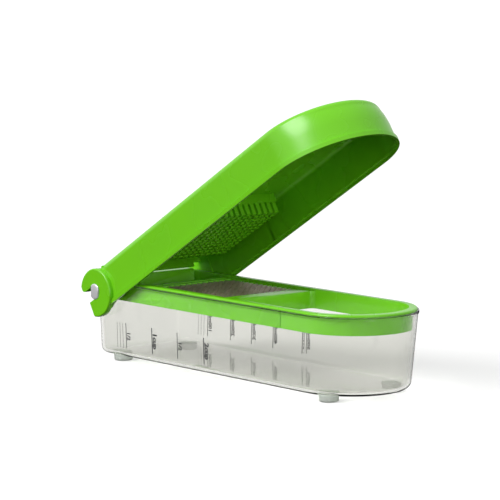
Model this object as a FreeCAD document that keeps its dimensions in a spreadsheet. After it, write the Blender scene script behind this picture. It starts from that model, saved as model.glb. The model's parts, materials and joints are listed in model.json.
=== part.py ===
import FreeCAD, Part
import math
import os
import re

import Sketcher
from FreeCAD import Placement, Rotation, Vector

# Driving dimensions in millimetres (angles in degrees). Each one becomes a named cell of the sheet.
# X runs from the hinge to the round nose, Y across, Z up. Inside each part x = 0 is the rear
# edge of the tub's rim, and the lid's own x and z are counted from the hinge axis.
SIZES = {
    # tub
    "tub_length": 290.0,
    "tub_half_width": 46.0,
    "tub_height": 56.0,
    "tub_corner": 12.0,
    "tub_wall": 2.2,
    "tub_floor": 2.5,
    "tub_draft_side": 2.5,
    "tub_draft_nose": 6.0,
    "tub_draft_rear": 1.4,
    "tub_bottom_round": 5.5,
    "tub_inner_round": 3.5,
    "rim_bead": 0.6,
    "rim_bead_height": 2.2,
    "pin_notch_width": 9.0,
    # feet
    "foot_radius": 7.3,
    "foot_height": 5.0,
    "foot_round": 1.2,
    "foot_rear_x": 21.0,
    "foot_rear_y": 32.0,
    "foot_front_x": 252.0,
    "foot_front_y": 30.0,
    # cutting frame
    "flange_inset": 1.2,
    "flange_height": 1.6,
    "flange_round": 1.3,
    "skirt_inset": 3.9,
    "skirt_nose_inset": 4.9,
    "skirt_depth": 13.0,
    "skirt_wall": 2.6,
    "inside_below_rim": 0.2,
    "rear_deck_height": 3.2,
    "rear_deck_start": 4.8,
    "rear_deck_end": 18.5,
    "rear_deck_half_width": 39.0,
    "deck_wall": 2.4,
    "pin_block": 12.0,
    "well_end": 54.0,
    "well_corner": 5.0,
    "well_floor_depth": 11.4,
    "seat_start": 56.0,
    "seat_end": 146.0,
    "seat_depth": 9.5,
    "seat_ledge": 2.5,
    "seat_side_ledge": 1.2,
    "pour_start": 157.0,
    "pour_corner": 4.0,
    "skirt_groove_x": 215.5,
    "skirt_groove_width": 0.8,
    "skirt_groove_depth": 0.5,
    # hinge pins
    "pin_x": 11.6,
    "pin_below_rim": 8.0,
    "pin_radius": 6.0,
    "pin_flats": 9.0,
    "pin_shank_radius": 4.0,
    "pin_shank_start": 34.0,
    "pin_head_start": 46.6,
    "pin_end": 52.6,
    "pin_chamfer": 0.6,
    # blade insert
    "cell_pitch": 5.4,
    "cell_count": 14,
    "grid_centre": 101.9,
    "blade_thickness": 0.5,
    "blade_height": 6.5,
    "blade_tab": 1.0,
    "blade_play": 0.1,
    "blade_below_rim": 1.0,
    "holder_play": 0.3,
    "holder_below_rim": 0.6,
    "holder_lip_height": 0.4,
    "holder_lip_width": 3.0,
    # lid
    "lid_open_angle": 30.5,
    "lid_half_width": 48.8,
    "lid_nose": 283.4,
    "lid_rear": 0.0,
    "lid_wall": 1.8,
    "lid_below_axis": 15.7,
    "lid_above_axis": 15.9,
    "lid_draft_side": 0.6,
    "lid_draft_nose": 7.0,
    "lid_nose_bend": 4.0,
    "lid_top": 2.0,
    "lid_edge_round": 5.0,
    "lid_inner_round": 3.0,
    "lid_lip": 1.3,
    "lid_lip_height": 3.6,
    "lid_plate_start": 10.6,
    "rear_wall_start": 12.0,
    "rear_wall_half": 38.5,
    "rear_wall_low": 7.0,
    "rear_wall_side_low": 10.4,
    "hook_radius": 18.9,
    "hook_inner": 47.0,
    "hook_outer": 52.0,
    "hook_bore": 6.05,
    "hook_slot": 9.6,
    "hook_prong": 10.0,
    "hook_round": 0.8,
    # pusher
    "pusher_below_axis": 1.4,
    "pusher_base_bottom": 7.3,
    "pusher_wall": 1.8,
    "pusher_plate": 2.0,
    "pusher_pin": 3.3,
    "pusher_lead": 0.25,
    # how far a through cut runs past the piece
    "past": 5.0,
}

# Flats that stand for the rounded bottom edges of the tub.
ROUND_STEPS = 3

doc = FreeCAD.newDocument("chopper")


def add_sheet():
    """Writes every driving dimension into a sheet cell that carries its name."""
    sheet = doc.addObject("Spreadsheet::Sheet", "Sizes")
    for row, (alias, value) in enumerate(SIZES.items(), start=1):
        sheet.set(f"A{row}", alias)
        sheet.set(f"B{row}", str(value))
        sheet.setAlias(f"B{row}", alias)
    doc.recompute()
    return sheet


sheet = add_sheet()


def cell(expression):
    """Turns an expression that names sheet cells into one that the document understands."""
    return re.sub(r"[a-z]\w*", lambda word: f"Sizes.{word[0]}" if word[0] in SIZES else word[0], expression)


def value(expression):
    """The number that an expression of sheet cells stands for."""
    return float(sheet.evalExpression(cell(expression)))


def add_body(label):
    body = doc.addObject("PartDesign::Body", label)
    body.Label = label
    return body


def origin_plane(body, role):
    return next(feature for feature in body.Origin.OriginFeatures if feature.Role == role)


def add_sketch(body, name, role, offset="0"):
    """A sketch on one of the body's own origin planes, moved along that plane's normal."""
    sketch = body.newObject("Sketcher::SketchObject", name)
    sketch.AttachmentSupport = (origin_plane(body, role), [""])
    sketch.MapMode = "FlatFace"
    sketch.setExpression("AttachmentOffset.Base.z", cell(offset))
    return sketch


def constrain(sketch, kind, *references, size=None):
    """Adds a constraint; one with a size takes it from the sheet."""
    if size is None:
        return sketch.addConstraint(Sketcher.Constraint(kind, *references))
    index = sketch.addConstraint(Sketcher.Constraint(kind, *references, value(size)))
    sketch.setExpression(f"Constraints[{index}]", cell(size))
    return index


def line(start, end):
    return Part.LineSegment(Vector(*start, 0), Vector(*end, 0))


def arc(centre, radius, start, end):
    circle = Part.Circle(Vector(*centre, 0), Vector(0, 0, 1), radius)
    return Part.ArcOfCircle(circle, math.radians(start), math.radians(end))


def draw_d_outline(sketch, rear, nose, half, corner):
    """A closed outline with a square rear, rounded rear corners and a half-round nose."""
    x0, x1, y1, radius = (value(size) for size in (rear, nose, half, corner))
    centre = x1 - y1
    first = sketch.GeometryCount
    sketch.addGeometry([
        line((x0 + radius, -y1), (centre, -y1)),
        arc((centre, 0), y1, -90, 90),
        line((centre, y1), (x0 + radius, y1)),
        arc((x0 + radius, y1 - radius), radius, 90, 180),
        line((x0, y1 - radius), (x0, radius - y1)),
        arc((x0 + radius, radius - y1), radius, 180, 270),
    ], False)
    near, front, far, far_corner, back, near_corner = range(first, first + 6)
    ring = [near, front, far, far_corner, back, near_corner]
    for edge, following in zip(ring, ring[1:] + ring[:1]):
        constrain(sketch, "Tangent", edge, 2, following, 1)
    constrain(sketch, "Horizontal", near)
    constrain(sketch, "Horizontal", far)
    constrain(sketch, "Vertical", back)
    constrain(sketch, "PointOnObject", front, 3, -1)
    constrain(sketch, "Equal", far_corner, near_corner)
    constrain(sketch, "Radius", far_corner, size=corner)
    constrain(sketch, "Radius", front, size=half)
    constrain(sketch, "DistanceX", -1, 1, back, 1, size=rear)
    constrain(sketch, "DistanceX", -1, 1, front, 3, size=f"({nose}) - ({half})")


def draw_rectangle(sketch, left, right, low, high):
    """A rectangle whose four sides are held at distances from the origin."""
    x0, x1, y0, y1 = (value(size) for size in (left, right, low, high))
    first = sketch.GeometryCount
    sketch.addGeometry([
        line((x0, y0), (x1, y0)),
        line((x1, y0), (x1, y1)),
        line((x1, y1), (x0, y1)),
        line((x0, y1), (x0, y0)),
    ], False)
    ring = list(range(first, first + 4))
    for edge, following in zip(ring, ring[1:] + ring[:1]):
        constrain(sketch, "Coincident", edge, 2, following, 1)
    constrain(sketch, "Horizontal", first)
    constrain(sketch, "Vertical", first + 1)
    constrain(sketch, "Horizontal", first + 2)
    constrain(sketch, "Vertical", first + 3)
    constrain(sketch, "DistanceX", -1, 1, first, 1, size=left)
    constrain(sketch, "DistanceX", -1, 1, first, 2, size=right)
    constrain(sketch, "DistanceY", -1, 1, first, 1, size=low)
    constrain(sketch, "DistanceY", -1, 1, first + 2, 1, size=high)


def draw_circle(sketch, x, y, radius):
    index = sketch.addGeometry(Part.Circle(Vector(value(x), value(y), 0), Vector(0, 0, 1), value(radius)), False)
    constrain(sketch, "Radius", index, size=radius)
    constrain(sketch, "DistanceX", -1, 1, index, 3, size=x)
    constrain(sketch, "DistanceY", -1, 1, index, 3, size=y)


def pad(body, sketch, length, symmetric=False, reverse=False):
    feature = body.newObject("PartDesign::Pad", f"{sketch.Name}_pad")
    feature.Profile = sketch
    feature.setExpression("Length", cell(length))
    feature.Midplane = symmetric
    feature.Reversed = reverse
    finish(feature)
    return feature


def pocket(body, sketch, length, symmetric=False, reverse=False):
    feature = body.newObject("PartDesign::Pocket", f"{sketch.Name}_pocket")
    feature.Profile = sketch
    feature.setExpression("Length", cell(length))
    feature.Midplane = symmetric
    feature.Reversed = reverse
    finish(feature)
    if feature.Shape.Volume > feature.BaseFeature.Shape.Volume - 1e-6:
        raise RuntimeError(f"{feature.Name} removes nothing")
    return feature


def loft(body, kind, sections):
    """An additive or subtractive loft through the sketches, in their order."""
    feature = body.newObject(f"PartDesign::{kind}", f"{sections[0].Name}_loft")
    feature.Profile = sections[0]
    feature.Sections = sections[1:]
    feature.Ruled = True
    finish(feature)
    return feature


def rounded_levels(radius):
    """The height and inset, going up, of each level of a rounded bottom edge."""
    for step in range(ROUND_STEPS + 1):
        turn = math.radians(90 * step / ROUND_STEPS)
        yield f"{1 - math.cos(turn):.5f} * {radius}", f"{1 - math.sin(turn):.5f} * {radius}"


def round_edges(body, base, radius, wanted):
    """Rounds the edges of the base feature for which wanted(edge) is true."""
    names = [f"Edge{i}" for i, edge in enumerate(base.Shape.Edges, start=1) if wanted(edge)]
    feature = body.newObject("PartDesign::Fillet", f"{base.Name}_round")
    feature.Base = (base, names)
    feature.setExpression("Radius", cell(radius))
    finish(feature)
    return feature


def finish(feature):
    """Recomputes and stops at the feature that went wrong, with its name."""
    doc.recompute()
    broken = feature.Shape.isNull() or not feature.Shape.isValid()
    if broken or "Invalid" in feature.State or "Error" in feature.State:
        raise RuntimeError(f"{feature.Name}: {feature.State}")


def flat_at(height, tolerance=0.01):
    """Tells whether an edge lies level at this height."""
    return lambda edge: (abs(edge.BoundBox.ZMin - height) < tolerance
                         and abs(edge.BoundBox.ZMax - height) < tolerance)


def repeat(body, feature, sketch, axis, length, count):
    """A row of copies of one feature along an axis of its sketch."""
    pattern = body.newObject("PartDesign::LinearPattern", f"{feature.Name}_row")
    pattern.Originals = [feature]
    pattern.Direction = (sketch, [axis])
    pattern.setExpression("Length", cell(length))
    pattern.setExpression("Occurrences", cell(count))
    body.Tip = pattern
    finish(pattern)
    return pattern


# Shares of the lid's height at which its nose has bent in a little more.
LID_LEVELS = (0.45, 0.6, 0.7, 0.78)

# Where the parts stand in the row: x = 0 halfway between hook and nose, z = 0 under the feet.
ROW_SHIFT = "(hook_radius - pin_x - tub_length) / 2"
FLOOR = "foot_height"
RIM = "foot_height + tub_height"
AXIS = "foot_height + tub_height - pin_below_rim"


def place(body, x, z, y="0"):
    """Puts a body at a place that the sheet gives."""
    body.setExpression("Placement.Base.x", cell(f"{ROW_SHIFT} + ({x})"))
    body.setExpression("Placement.Base.y", cell(y))
    body.setExpression("Placement.Base.z", cell(z))


def place_on_axis(body):
    """Puts a body of the lid on the hinge axis and tips it open."""
    body.Placement.Rotation = Rotation(Vector(0, 1, 0), 0)
    place(body, "pin_x", AXIS)
    body.setExpression("Placement.Rotation.Angle", cell("lid_open_angle"))
    body.Placement.Rotation.Axis = Vector(0, -1, 0)


def tub_section(body, name, height, inset):
    """The tub's drafted outline at one height, moved in by an inset."""
    sketch = add_sketch(body, name, "XY_Plane", height)
    depth = f"(1 - ({height}) / tub_height)"
    draw_d_outline(sketch,
                   f"rim_bead + {depth} * (tub_draft_rear - rim_bead) + {inset}",
                   f"tub_length - rim_bead - {depth} * (tub_draft_nose - rim_bead) - ({inset})",
                   f"tub_half_width - rim_bead - {depth} * (tub_draft_side - rim_bead) - ({inset})",
                   f"tub_corner - rim_bead - {depth} * (tub_draft_side - rim_bead) - ({inset})")
    return sketch


def build_tub():
    """The clear tub: drafted walls, a bead at the rim, and a notch for each hinge pin."""
    body = add_body("tub")
    outside = [tub_section(body, f"tub_outer_{index}", height, inset)
               for index, (height, inset) in enumerate(rounded_levels("tub_bottom_round"))]
    outside.append(tub_section(body, "tub_outer_rim", "tub_height", "0"))
    loft(body, "AdditiveLoft", outside)

    bead = add_sketch(body, "tub_bead", "XY_Plane", "tub_height - rim_bead_height")
    draw_d_outline(bead, "0", "tub_length", "tub_half_width", "tub_corner")
    pad(body, bead, "rim_bead_height")

    inside = [tub_section(body, f"tub_inner_{index}", f"tub_floor + {height}", f"tub_wall + {inset}")
              for index, (height, inset) in enumerate(rounded_levels("tub_inner_round"))]
    inside.append(tub_section(body, "tub_inner_rim", "tub_height", "tub_wall"))
    loft(body, "SubtractiveLoft", inside)

    notch = add_sketch(body, "tub_pin_notch", "XZ_Plane")
    draw_rectangle(notch, "pin_x - pin_notch_width / 2", "pin_x + pin_notch_width / 2",
                   "tub_height - pin_below_rim - pin_notch_width / 2", "tub_height + past")
    pocket(body, notch, "2 * tub_half_width + 2 * past", symmetric=True)
    place(body, "0", FLOOR)
    return body


def build_foot(label, x, y):
    """One soft round foot under the tub's floor."""
    body = add_body(label)
    outline = add_sketch(body, f"{label}_outline", "XY_Plane")
    draw_circle(outline, "0", "0", "foot_radius")
    column = pad(body, outline, "foot_height")
    round_edges(body, column, "foot_round", flat_at(0))
    place(body, x, "0", y)
    return body


def build_frame():
    """The green cutting frame: flange, skirt, rear deck and well, blade seat and pouring opening."""
    body = add_body("top_frame")
    flange = add_sketch(body, "frame_flange", "XY_Plane")
    draw_d_outline(flange, "flange_inset", "tub_length - flange_inset",
                   "tub_half_width - flange_inset", "tub_corner - flange_inset")
    plate = pad(body, flange, "flange_height")
    round_edges(body, plate, "flange_round", flat_at(value("flange_height")))

    skirt = add_sketch(body, "frame_skirt", "XY_Plane")
    draw_d_outline(skirt, "skirt_inset", "tub_length - skirt_nose_inset",
                   "tub_half_width - skirt_inset", "tub_corner - skirt_inset")
    pad(body, skirt, "skirt_depth", reverse=True)

    deck = add_sketch(body, "frame_deck", "XY_Plane")
    draw_rectangle(deck, "rear_deck_start", "rear_deck_end",
                   "-rear_deck_half_width", "rear_deck_half_width")
    raised = pad(body, deck, "rear_deck_height")
    deck_top = value("rear_deck_height")
    round_edges(body, raised, "flange_round", flat_at(deck_top))

    inner = "tub_half_width - skirt_inset - skirt_wall"
    inner_nose = "tub_length - skirt_nose_inset - skirt_wall"
    recess = add_sketch(body, "frame_recess", "XY_Plane", "rear_deck_height")
    draw_d_outline(recess, "rear_deck_end", inner_nose, inner, "flange_round")
    pocket(body, recess, "rear_deck_height + inside_below_rim")

    well = add_sketch(body, "frame_well", "XY_Plane", "rear_deck_height")
    draw_rectangle(well, "rear_deck_end", "well_end", f"-({inner})", inner)
    hollow = pocket(body, well, "rear_deck_height + well_floor_depth")
    front, side = value("well_end"), value(inner)
    round_edges(body, hollow, "well_corner",
                lambda edge: edge.BoundBox.ZLength > 1 and abs(edge.BoundBox.XMin - front) < 0.01
                and edge.BoundBox.XLength < 0.01 and edge.BoundBox.YLength < 0.01
                and abs(abs(edge.BoundBox.YMin) - side) < 0.01)

    seat = add_sketch(body, "frame_seat", "XY_Plane", "rear_deck_height")
    draw_rectangle(seat, "seat_start", "seat_end", f"-({inner})", inner)
    pocket(body, seat, "rear_deck_height + seat_depth")

    window = add_sketch(body, "frame_window", "XY_Plane", "rear_deck_height")
    draw_rectangle(window, "seat_start + seat_ledge", "seat_end - seat_ledge",
                   f"-({inner} - seat_side_ledge)", f"{inner} - seat_side_ledge")
    pocket(body, window, "rear_deck_height + skirt_depth + past")

    pour = add_sketch(body, "frame_pour_opening", "XY_Plane", "rear_deck_height")
    draw_d_outline(pour, "pour_start", inner_nose, inner, "pour_corner")
    pocket(body, pour, "rear_deck_height + skirt_depth + past")

    under_deck = add_sketch(body, "frame_under_deck", "XY_Plane", "-skirt_depth")
    draw_rectangle(under_deck, "skirt_inset + deck_wall", "rear_deck_end - deck_wall",
                   "-(tub_half_width - skirt_inset - pin_block)", "tub_half_width - skirt_inset - pin_block")
    pocket(body, under_deck, "skirt_depth + rear_deck_height - deck_wall", reverse=True)

    bore = add_sketch(body, "frame_pin_bore", "XZ_Plane")
    draw_circle(bore, "pin_x", "-pin_below_rim", "pin_shank_radius")
    pocket(body, bore, "2 * tub_half_width + 2 * past", symmetric=True)

    for side, sign in (("near", -1), ("far", 1)):
        groove = add_sketch(body, f"frame_groove_{side}", "XY_Plane", "-skirt_depth")
        edge = "tub_half_width - skirt_inset"
        low, high = (f"{edge} - skirt_groove_depth", f"{edge} + past")
        if sign < 0:
            low, high = (f"-({high})", f"-({low})")
        draw_rectangle(groove, "skirt_groove_x", "skirt_groove_x + skirt_groove_width", low, high)
        pocket(body, groove, "skirt_depth", reverse=True)
    place(body, "0", RIM)
    return body


def build_hinge_pin(label, side):
    """A steel pin: a round shank pressed into the frame and a head with two upright flats."""
    body = add_body(label)
    shank = add_sketch(body, f"{label}_shank", "XZ_Plane", "pin_shank_start")
    draw_circle(shank, "0", "0", "pin_shank_radius")
    pad(body, shank, "pin_end - pin_shank_start")

    head = add_sketch(body, f"{label}_head", "XZ_Plane", "pin_head_start")
    half_flat = value("pin_flats / 2")
    radius = value("pin_radius")
    lean = math.degrees(math.acos(half_flat / radius))
    rise = math.sqrt(radius ** 2 - half_flat ** 2)
    head.addGeometry([
        line((half_flat, -rise), (half_flat, rise)),
        arc((0, 0), radius, lean, 180 - lean),
        line((-half_flat, rise), (-half_flat, -rise)),
        arc((0, 0), radius, 180 + lean, 360 - lean),
    ], False)
    for edge in range(4):
        constrain(head, "Coincident", edge, 2, (edge + 1) % 4, 1)
    constrain(head, "Vertical", 0)
    constrain(head, "Vertical", 2)
    constrain(head, "Coincident", 1, 3, -1, 1)
    constrain(head, "Coincident", 3, 3, -1, 1)
    constrain(head, "Radius", 1, size="pin_radius")
    constrain(head, "DistanceX", -1, 1, 0, 1, size="pin_flats / 2")
    constrain(head, "DistanceX", -1, 1, 2, 1, size="-pin_flats / 2")
    solid = pad(body, head, "pin_end - pin_head_start")

    chamfer = body.newObject("PartDesign::Chamfer", f"{label}_chamfer")
    end = -value("pin_end")
    edges = [f"Edge{i}" for i, edge in enumerate(solid.Shape.Edges, start=1)
             if abs(edge.BoundBox.YMin - end) < 0.01 and abs(edge.BoundBox.YMax - end) < 0.01]
    chamfer.Base = (solid, edges)
    chamfer.setExpression("Size", cell("pin_chamfer"))
    finish(chamfer)
    if side > 0:
        body.Placement.Rotation = Rotation(Vector(0, 0, 1), 180)
    place(body, "pin_x", AXIS)
    return body


GRID_HALF = "cell_pitch * cell_count / 2"
HOLDER_HALF = "tub_half_width - skirt_inset - skirt_wall - holder_play"
BLADE_LENGTH = "cell_pitch * cell_count + 2 * blade_tab"
BLADE_TOP = f"{RIM} - blade_below_rim"


def build_blade_holder():
    """The insert's border: a window for the blades, a slot for each blade end and a rear lip."""
    body = add_body("blade_holder")
    border = add_sketch(body, "holder_border", "XY_Plane", "-holder_below_rim")
    draw_rectangle(border, "seat_start + holder_play", "seat_end - holder_play",
                   f"-({HOLDER_HALF})", HOLDER_HALF)
    pad(body, border, "seat_depth - holder_below_rim", reverse=True)

    lip = add_sketch(body, "holder_lip", "XY_Plane", "-holder_below_rim")
    draw_rectangle(lip, "seat_start + holder_play", "seat_start + holder_play + holder_lip_width",
                   f"-({HOLDER_HALF})", HOLDER_HALF)
    pad(body, lip, "holder_lip_height")

    window = add_sketch(body, "holder_window", "XY_Plane")
    draw_rectangle(window, f"grid_centre - {GRID_HALF}", f"grid_centre + {GRID_HALF}",
                   f"-{GRID_HALF}", GRID_HALF)
    pocket(body, window, "seat_depth + past")

    slot_half = "(blade_thickness + blade_play) / 2"
    reach = f"({GRID_HALF} + blade_tab)"
    first = "-(cell_count - 2) / 2 * cell_pitch"
    span = "(cell_count - 2) * cell_pitch"
    for name, axis in (("holder_long_slot", "V_Axis"), ("holder_cross_slot", "H_Axis")):
        slot = add_sketch(body, name, "XY_Plane")
        if axis == "V_Axis":
            draw_rectangle(slot, f"grid_centre - {reach}", f"grid_centre + {reach}",
                           f"{first} - {slot_half}", f"{first} + {slot_half}")
        else:
            draw_rectangle(slot, f"grid_centre + {first} - {slot_half}",
                           f"grid_centre + {first} + {slot_half}", f"-{reach}", reach)
        cut = pocket(body, slot, "blade_below_rim + blade_height")
        repeat(body, cut, slot, axis, span, "cell_count - 1")
    place(body, "0", RIM)
    return body


def build_blade(label, number, lengthwise):
    """One steel strip of the grid, half-lapped over the strips that cross it."""
    body = add_body(label)
    half = f"({BLADE_LENGTH}) / 2"
    strip = add_sketch(body, f"{label}_strip", "XZ_Plane")
    draw_rectangle(strip, f"-{half}", half, "-blade_height", "0")
    pad(body, strip, "blade_thickness", symmetric=True)

    lap = add_sketch(body, f"{label}_lap", "XZ_Plane")
    first = "-(cell_count - 2) / 2 * cell_pitch"
    lap_half = "(blade_thickness + blade_play) / 2"
    low, high = ("-blade_height - past", "-blade_height / 2 + blade_play / 2")
    if not lengthwise:
        low, high = ("-blade_height / 2 - blade_play / 2", "past")
    draw_rectangle(lap, f"{first} - {lap_half}", f"{first} + {lap_half}", low, high)
    cut = pocket(body, lap, "blade_thickness + past", symmetric=True)
    repeat(body, cut, lap, "H_Axis", "(cell_count - 2) * cell_pitch", "cell_count - 1")

    offset = f"({number} - cell_count / 2) * cell_pitch"
    if lengthwise:
        place(body, "grid_centre", BLADE_TOP, offset)
    else:
        body.Placement.Rotation = Rotation(Vector(0, 0, 1), 90)
        place(body, f"grid_centre + {offset}", BLADE_TOP)
    return body


def lid_tray(body, kind, name, rear, inset, top, edge_round):
    """The lid's drafted tray, or the hollow in it: its nose bends in towards the top and its top edge is round."""
    height_in_all = "(lid_below_axis + lid_above_axis)"
    levels = [("-lid_below_axis", inset)]
    levels += [(f"{part} * {height_in_all} - lid_below_axis", inset) for part in LID_LEVELS]
    for below, further in reversed(list(rounded_levels(edge_round))):
        levels.append((f"{top} - {below}", f"{inset} + {further}"))
    sections = []
    for number, (height, moved_in) in enumerate(levels):
        sketch = add_sketch(body, f"lid_{name}_{number}", "XY_Plane", height)
        share = f"(({height} + lid_below_axis) / {height_in_all})"
        draw_d_outline(sketch, rear,
                       f"lid_nose - {share} ^ lid_nose_bend * lid_draft_nose - ({moved_in})",
                       f"lid_half_width - {share} * lid_draft_side - ({moved_in})", "lid_wall")
        sections.append(sketch)
    loft(body, kind, sections)


def build_lid():
    """The lid: a deep tray open at the rear, with a lip round its rim and two hinge hooks."""
    body = add_body("lid")
    hooks = add_sketch(body, "lid_hooks", "XZ_Plane")
    draw_circle(hooks, "0", "0", "hook_radius")
    discs = pad(body, hooks, "2 * hook_outer", symmetric=True)
    ends = value("hook_outer")
    round_edges(body, discs, "hook_round",
                lambda edge: edge.BoundBox.YLength < 0.01 and abs(abs(edge.BoundBox.YMin) - ends) < 0.01)

    lid_tray(body, "AdditiveLoft", "outer", "lid_rear", "0", "lid_above_axis", "lid_edge_round")
    lip = add_sketch(body, "lid_lip", "XY_Plane", "-lid_below_axis")
    draw_d_outline(lip, "lid_rear", "lid_nose + lid_lip", "lid_half_width + lid_lip", "lid_wall")
    pad(body, lip, "lid_lip_height")

    lid_tray(body, "SubtractiveLoft", "inner", "-hook_radius - past", "lid_wall",
             "lid_above_axis - lid_top", "lid_inner_round")
    rear = add_sketch(body, "lid_rear_cut", "XY_Plane", "-hook_radius - past")
    draw_rectangle(rear, "-hook_radius - past", "lid_plate_start", "-hook_inner", "hook_inner")
    pocket(body, rear, "2 * hook_radius + 2 * past", reverse=True)
    for part, half, low in (("middle", "rear_wall_half", "rear_wall_low"),
                            ("sides", "lid_half_width - lid_wall / 2", "rear_wall_side_low")):
        wall = add_sketch(body, f"lid_rear_wall_{part}", "XY_Plane", low)
        draw_rectangle(wall, "rear_wall_start", "rear_wall_start + lid_wall", f"-({half})", half)
        pad(body, wall, f"lid_above_axis - lid_top / 2 - {low}")

    bore = add_sketch(body, "lid_hook_bore", "XZ_Plane")
    draw_circle(bore, "0", "0", "hook_bore")
    pocket(body, bore, "2 * hook_outer + 2 * past", symmetric=True)
    slot = add_sketch(body, "lid_hook_slot", "XZ_Plane")
    draw_rectangle(slot, "-hook_radius - past", "0", "-hook_slot / 2", "hook_slot / 2")
    pocket(body, slot, "2 * hook_outer + 2 * past", symmetric=True)
    prong = add_sketch(body, "lid_hook_prong", "XZ_Plane")
    draw_rectangle(prong, "-hook_radius - past", "-hook_prong", "-hook_radius - past", "-hook_slot / 2 + 1")
    pocket(body, prong, "2 * hook_outer + 2 * past", symmetric=True)
    place_on_axis(body)
    return body


def build_pusher():
    """The pusher under the lid: a hollow base with one square pin for each cell of the grid."""
    body = add_body("pusher")
    centre = "grid_centre - pin_x"
    base = add_sketch(body, "pusher_base", "XY_Plane", "pusher_base_bottom")
    draw_rectangle(base, f"{centre} - {GRID_HALF}", f"{centre} + {GRID_HALF}", f"-{GRID_HALF}", GRID_HALF)
    pad(body, base, "lid_above_axis - lid_top - pusher_base_bottom")
    core = add_sketch(body, "pusher_core", "XY_Plane", "pusher_base_bottom + pusher_plate")
    draw_rectangle(core, f"{centre} - {GRID_HALF} + pusher_wall", f"{centre} + {GRID_HALF} - pusher_wall",
                   f"-{GRID_HALF} + pusher_wall", f"{GRID_HALF} - pusher_wall")
    pocket(body, core, "past", reverse=True)

    first = "-(cell_count - 1) / 2 * cell_pitch"
    square = add_sketch(body, "pusher_pin_square", "XY_Plane", "pusher_base_bottom")
    draw_rectangle(square, f"{centre} + pusher_lead + {first} - pusher_pin / 2",
                   f"{centre} + pusher_lead + {first} + pusher_pin / 2",
                   f"{first} - pusher_pin / 2", f"{first} + pusher_pin / 2")
    one = pad(body, square, "pusher_base_bottom + pusher_below_axis", reverse=True)
    grid = body.newObject("PartDesign::MultiTransform", "pusher_pins")
    grid.Originals = [one]
    rows = []
    for axis in ("H_Axis", "V_Axis"):
        row = body.newObject("PartDesign::LinearPattern", f"pusher_pins_{axis[0].lower()}")
        row.Direction = (square, [axis])
        row.setExpression("Length", cell("(cell_count - 1) * cell_pitch"))
        row.setExpression("Occurrences", cell("cell_count"))
        rows.append(row)
    grid.Transformations = rows
    body.Tip = grid
    finish(grid)
    place_on_axis(body)
    return body


def build_all():
    bodies = [build_tub()]
    for end in ("rear", "front"):
        for side, sign in (("near", "-"), ("far", "")):
            bodies.append(build_foot(f"foot_{end}_{side}", f"foot_{end}_x", f"{sign}foot_{end}_y"))
    bodies.append(build_frame())
    bodies.append(build_hinge_pin("hinge_pin_near", -1))
    bodies.append(build_hinge_pin("hinge_pin_far", 1))
    bodies.append(build_blade_holder())
    for number in range(1, int(SIZES["cell_count"])):
        bodies.append(build_blade(f"blade_long_{number:02d}", number, True))
    for number in range(1, int(SIZES["cell_count"])):
        bodies.append(build_blade(f"blade_cross_{number:02d}", number, False))
    bodies.append(build_lid())
    bodies.append(build_pusher())
    return bodies


def export(bodies):
    """Checks every object of the document, then writes one STEP file for each part."""
    doc.recompute()
    for item in doc.Objects:
        if "Invalid" in item.State or "Error" in item.State:
            raise RuntimeError(f"{item.Name}: {item.State}")
    os.makedirs("parts", exist_ok=True)
    for body in bodies:
        shape = body.Shape
        if shape.isNull() or not shape.isValid() or not shape.Solids:
            raise RuntimeError(f"{body.Label} has no valid solid")
        shape.exportStep(f"parts/{body.Label}.step")


export(build_all())
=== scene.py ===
"""Looks of a lidded vegetable dicer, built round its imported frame."""

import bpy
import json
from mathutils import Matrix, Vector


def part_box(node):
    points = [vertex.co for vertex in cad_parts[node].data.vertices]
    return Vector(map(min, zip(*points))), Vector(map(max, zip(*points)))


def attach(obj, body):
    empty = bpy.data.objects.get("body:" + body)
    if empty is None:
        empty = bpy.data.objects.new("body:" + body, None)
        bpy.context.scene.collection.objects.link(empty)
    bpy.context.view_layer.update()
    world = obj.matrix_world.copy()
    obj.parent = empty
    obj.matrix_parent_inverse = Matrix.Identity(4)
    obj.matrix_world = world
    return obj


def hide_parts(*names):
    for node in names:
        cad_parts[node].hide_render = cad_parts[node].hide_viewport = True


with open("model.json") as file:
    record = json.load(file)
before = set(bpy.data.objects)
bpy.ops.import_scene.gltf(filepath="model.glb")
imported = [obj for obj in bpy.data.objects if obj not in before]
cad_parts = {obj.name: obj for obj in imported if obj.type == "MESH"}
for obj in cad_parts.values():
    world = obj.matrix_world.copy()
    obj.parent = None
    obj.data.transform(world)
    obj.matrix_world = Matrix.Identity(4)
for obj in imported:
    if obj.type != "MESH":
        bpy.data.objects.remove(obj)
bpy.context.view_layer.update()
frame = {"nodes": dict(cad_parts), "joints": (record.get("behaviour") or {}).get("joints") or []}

import json
import logging
import math
from contextlib import contextmanager
from dataclasses import dataclass, field
from enum import Enum
from typing import Callable, Iterator, Optional, Union

import bmesh
import bpy
from mathutils import Matrix, Vector

logging.basicConfig(level=logging.INFO, format="%(name)s: %(message)s")
log = logging.getLogger("dicer")

MM = 0.001
PAST = 5 * MM  # how far a cutter runs past the piece it cuts
LAP = 1 * MM  # how far one cutter runs into another
CLOSE = 1e-6  # two places this near are the same
FACING = 0.9  # a normal with this much along an axis faces it
Colour = tuple[float, float, float, float]
Test = Callable[[Vector, Vector], bool]


# ---------------------------------------------------------------- shader maths


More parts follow.
